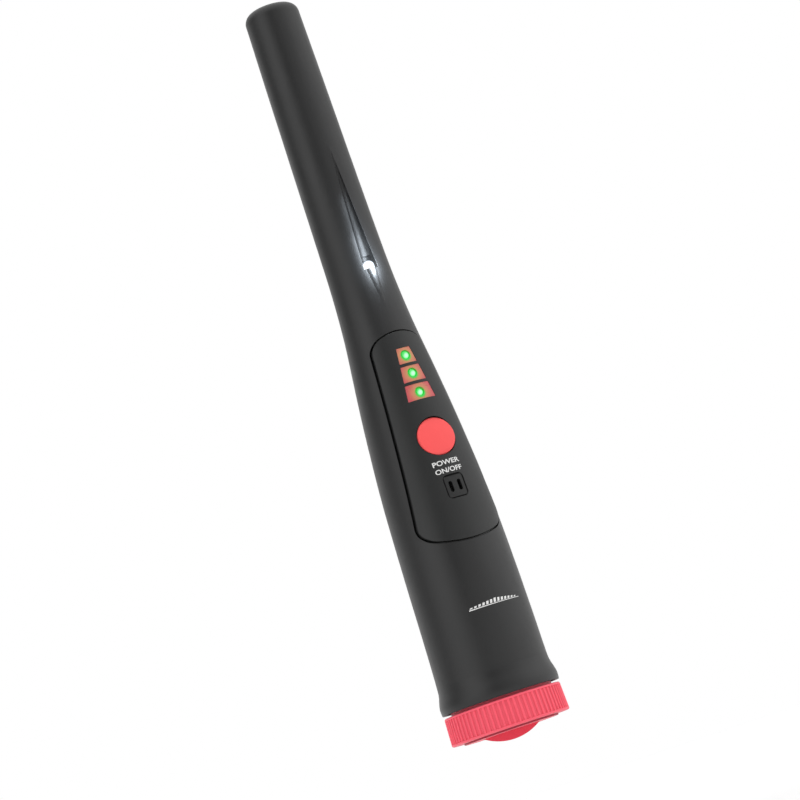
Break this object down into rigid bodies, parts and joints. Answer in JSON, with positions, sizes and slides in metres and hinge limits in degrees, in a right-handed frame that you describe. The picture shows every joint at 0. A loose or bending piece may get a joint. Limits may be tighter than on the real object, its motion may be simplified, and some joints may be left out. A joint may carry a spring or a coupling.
{
  "type": "pinpointer probe",
  "caption": "Handheld metal-detecting pinpointer: tapered round housing with a lit control panel, a lamp in a light channel, a coil in the domed tip and a screw-on battery cap.",
  "frame": {"origin": "on the long axis, level with the lowest point of the finger fin on the battery cap", "axes": "+Z along the probe from the battery cap to the domed tip, -Y is the front with the control panel, +X is to the right seen from the front"},
  "size_m": [0.039, 0.039, 0.25],
  "materials": {
    "housing_plastic": "fine texture",
    "panel_plastic": "satin",
    "red_plastic": "satin",
    "button_red": "satin",
    "window_tint": "polished, tinted",
    "led_green": "clear, lit",
    "lamp_white": "clear, lit",
    "seal_rubber": "matt",
    "foam": "open cell",
    "grille_plastic": "satin",
    "speaker_black": "satin",
    "board_green": "solder mask",
    "chip_black": "epoxy",
    "tinned": "tinned",
    "capacitor_sleeve": "sleeved",
    "white_nylon": "moulded",
    "screw_steel": "zinc plated",
    "ferrite": "sintered",
    "copper_wire": "enamelled winding",
    "former_plastic": "moulded",
    "motor_steel": "drawn can",
    "tungsten": "sintered",
    "battery_case": "printed sleeve",
    "lead_red": "insulated",
    "lead_black": "insulated",
    "lead_yellow": "insulated",
    "beige_chip": "ceramic"
  },
  "bodies": {
    "housing": {"main_housing": "housing_plastic", "control_panel": "panel_plastic", "panel_gasket": "seal_rubber", "indicator_window_1": "window_tint", "indicator_window_2": "window_tint", "indicator_window_3": "window_tint", "indicator_led_1": "led_green", "indicator_led_2": "led_green", "indicator_led_3": "led_green", "indicator_leads": "tinned", "speaker_grille": "grille_plastic", "speaker_seal": "foam", "speaker": "speaker_black", "button_membrane": "seal_rubber", "tact_switch": "chip_black", "circuit_board": "board_green", "board_screws": "screw_steel", "microcontroller": "chip_black", "amplifier_chips": "chip_black", "chip_legs": "tinned", "filter_capacitors": "capacitor_sleeve", "crystal": "tinned", "chip_components": "beige_chip", "supply_connector": "white_nylon", "flashlight_led": "lamp_white", "flashlight_leads": "tinned", "ferrite_core": "ferrite", "coil_former": "former_plastic", "transmit_coil": "copper_wire", "receive_coil": "copper_wire", "coil_rings": "foam", "tip_pad": "foam", "coil_leads": "lead_yellow", "vibration_motor": "motor_steel", "motor_cradle": "former_plastic", "motor_leads": "lead_red", "battery": "battery_case", "battery_terminals": "tinned", "battery_connector": "chip_black", "battery_lead_red": "lead_red", "battery_lead_black": "lead_black", "bay_bulkhead": "former_plastic"},
    "power_button": {"power_button": "button_red", "switch_plunger": "white_nylon"},
    "battery_seat": {"pressure_disc": "white_nylon", "foam_pad": "foam"},
    "battery_cap": {"battery_cap": "red_plastic", "cap_o_ring": "seal_rubber"},
    "motor_rotor": {"motor_shaft": "screw_steel", "motor_weight": "tungsten"}
  },
  "joints": [
    {"name": "button_press", "type": "slide", "parent": "housing", "child": "power_button", "axis": [0, 0.9954, -0.0958], "range_m": [0, 0.0006], "stiffness_N_per_m": 2500, "springref_m": -0.0002},
    {"name": "seat_travel", "type": "slide", "parent": "housing", "child": "battery_seat", "axis": [0, 0, -1], "range_m": [0, 0.00661]},
    {"name": "cap_screw", "type": "hinge", "parent": "battery_seat", "child": "battery_cap", "pos_m": [0, 0, 0.01], "axis": [0, 0, -1], "range_deg": [0, 792]},
    {"name": "motor_spin", "type": "hinge", "parent": "housing", "child": "motor_rotor", "pos_m": [0, 0.005, 0.108], "axis": [0, 0, 1], "continuous": true}
  ],
  "couplings": [
    {"joint": "seat_travel", "follows": "cap_screw", "m_per_rad": 0.00047746}
  ]
}
